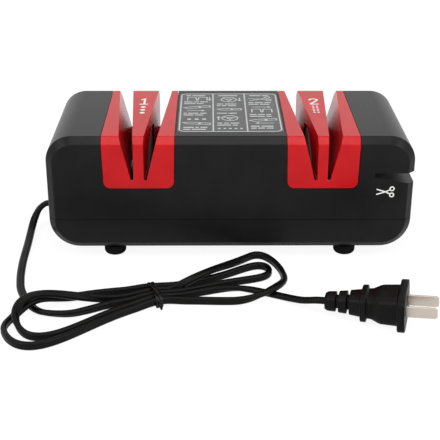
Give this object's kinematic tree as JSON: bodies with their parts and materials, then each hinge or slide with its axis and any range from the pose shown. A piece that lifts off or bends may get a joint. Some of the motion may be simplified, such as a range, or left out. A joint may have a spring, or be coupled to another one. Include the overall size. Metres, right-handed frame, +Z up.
{
  "type": "electric knife sharpener",
  "caption": "Electric knife sharpener: black housing with two red slotted guides, motor-driven wheels inside, a side notch for scissors and a tied mains cord.",
  "frame": {"origin": "middle of the housing in plan, on the surface that the rubber feet stand on", "axes": "+X along the housing towards the scissors notch, +Y to the back where the switch is, +Z up"},
  "size_m": [0.2319, 0.1961, 0.075],
  "materials": {
    "black_plastic": "satin moulded black",
    "red_plastic": "glossy red",
    "plate_film": "printed film on black plastic",
    "foot_rubber": "matte black rubber",
    "cord_jacket": "soft black cord jacket",
    "plug_plastic": "moulded black plug",
    "steel": "plain steel",
    "abrasive": "grey abrasive grit",
    "motor_iron": "dark iron and ferrite",
    "copper": "copper and bronze",
    "circuit_board": "green board",
    "component_plastic": "dark component body",
    "rocker_plastic": "off-white rocker",
    "nickel": "nickel plated blade",
    "red_wire": "red insulation"
  },
  "bodies": {
    "housing": {"base_shell": "black_plastic", "upper_housing": "black_plastic", "coarse_guide": "red_plastic", "fine_guide": "red_plastic", "instruction_plate": "plate_film", "foot_front_left": "foot_rubber", "housing_screw_front_left": "steel", "foot_back_left": "foot_rubber", "housing_screw_back_left": "steel", "foot_front_right": "foot_rubber", "housing_screw_front_right": "steel", "foot_back_right": "foot_rubber", "housing_screw_back_right": "steel", "outboard_bearing": "copper", "bearing_bracket": "steel", "motor_can": "steel", "motor_cap_left": "steel", "motor_cap_right": "steel", "motor_mount_left": "black_plastic", "motor_mount_right": "black_plastic", "magnet_front": "motor_iron", "magnet_back": "motor_iron", "brush_front": "motor_iron", "brush_back": "motor_iron", "clamp_screw_front": "steel", "clamp_screw_back": "steel", "switch_body": "black_plastic", "rectifier_board": "circuit_board", "rectifier_block": "component_plastic", "capacitor": "component_plastic", "cord_clamp": "black_plastic", "inner_cord": "cord_jacket", "motor_wire_a": "red_wire", "motor_wire_b": "cord_jacket", "switch_wire_a": "red_wire", "switch_wire_b": "cord_jacket", "strain_relief": "foot_rubber", "cord_lead": "cord_jacket", "cord_hank": "cord_jacket", "cord_tail": "cord_jacket", "twist_tie": "foot_rubber", "plug_body": "plug_plastic", "plug_blade_near": "nickel", "plug_blade_far": "nickel"},
    "rotor": {"drive_shaft": "steel", "coarse_wheel": "abrasive", "coarse_wheel_hub": "steel", "coarse_wheel_nut": "steel", "fine_wheel": "abrasive", "fine_wheel_hub": "steel", "fine_wheel_nut": "steel", "scissors_wheel": "abrasive", "scissors_collar": "steel", "scissors_wheel_nut": "steel", "armature": "motor_iron", "commutator": "copper"},
    "rocker": {"switch_rocker": "rocker_plastic"}
  },
  "joints": [
    {"name": "shaft_spin", "type": "hinge", "parent": "housing", "child": "rotor", "pos_m": [0, 0, 0.038], "axis": [1, 0, 0], "continuous": true},
    {"name": "switch_rock", "type": "hinge", "parent": "housing", "child": "rocker", "pos_m": [0, 0.041, 0.045], "axis": [0, 0, 1], "range_deg": [0, 22]}
  ]
}
